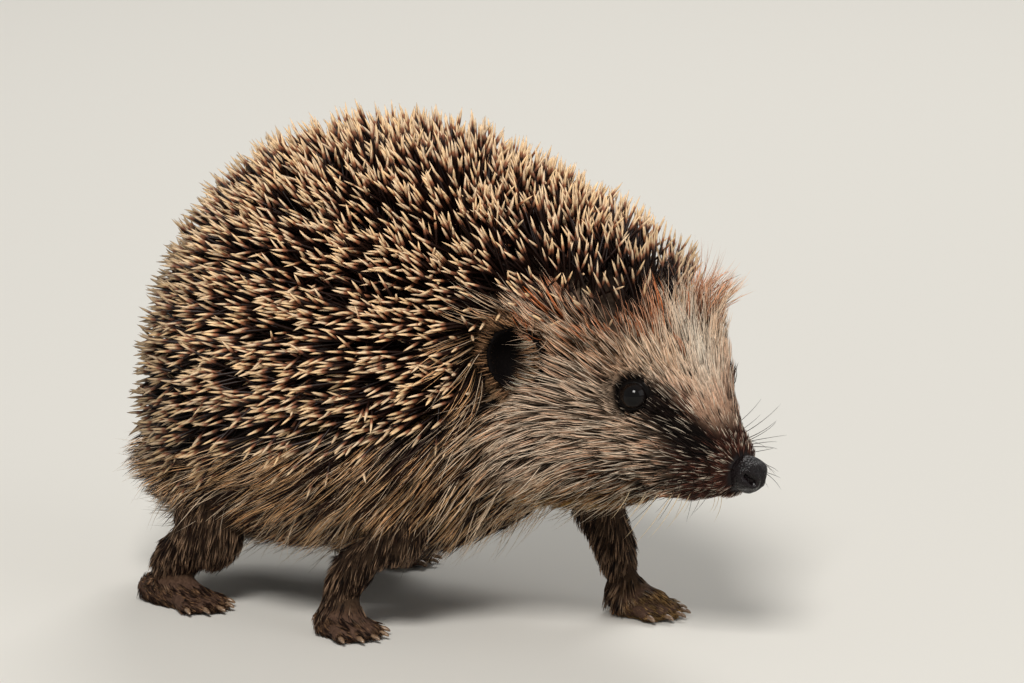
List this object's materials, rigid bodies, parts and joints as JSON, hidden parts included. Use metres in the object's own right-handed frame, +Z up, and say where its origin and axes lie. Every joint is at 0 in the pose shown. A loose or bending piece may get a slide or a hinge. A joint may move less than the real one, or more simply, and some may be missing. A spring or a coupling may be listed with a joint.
{
  "type": "hedgehog model",
  "caption": "Still, life-size museum model of a young European hedgehog in mid-stride, with a coat of quills over its back and its head turned a little to its right.",
  "frame": {"origin": "on the floor, under the centre of the whole animal's bounding box", "axes": "+X the way the body walks, +Y the animal's left, +Z up"},
  "size_m": [0.1576, 0.0924, 0.1085],
  "materials": {
    "quills": "banded quills, dark brown with cream bands under fine brown points",
    "fur": "coarse tan and brown hair",
    "skin": "bare grey-brown skin of ears, soles and tail",
    "nose": "moist black nose pad",
    "eye": "wet black eyes",
    "claw": "horn-coloured claws"
  },
  "bodies": {
    "root": {"ear_left": "skin", "ear_right": "skin", "eye_left": "eye", "eye_right": "eye", "foreleg_left": "fur", "foreleg_right": "fur", "forepaw_left": "skin", "forepaw_left_claw_1": "claw", "forepaw_left_claw_2": "claw", "forepaw_left_claw_3": "claw", "forepaw_left_claw_4": "claw", "forepaw_left_claw_5": "claw", "forepaw_right": "skin", "forepaw_right_claw_1": "claw", "forepaw_right_claw_2": "claw", "forepaw_right_claw_3": "claw", "forepaw_right_claw_4": "claw", "forepaw_right_claw_5": "claw", "head": "fur", "hindleg_left": "fur", "hindleg_right": "fur", "hindpaw_left": "skin", "hindpaw_left_claw_1": "claw", "hindpaw_left_claw_2": "claw", "hindpaw_left_claw_3": "claw", "hindpaw_left_claw_4": "claw", "hindpaw_left_claw_5": "claw", "hindpaw_right": "skin", "hindpaw_right_claw_1": "claw", "hindpaw_right_claw_2": "claw", "hindpaw_right_claw_3": "claw", "hindpaw_right_claw_4": "claw", "hindpaw_right_claw_5": "claw", "jaw": "fur", "neck": "fur", "nose": "nose", "tail": "skin", "trunk": "quills"}
  },
  "joints": []
}
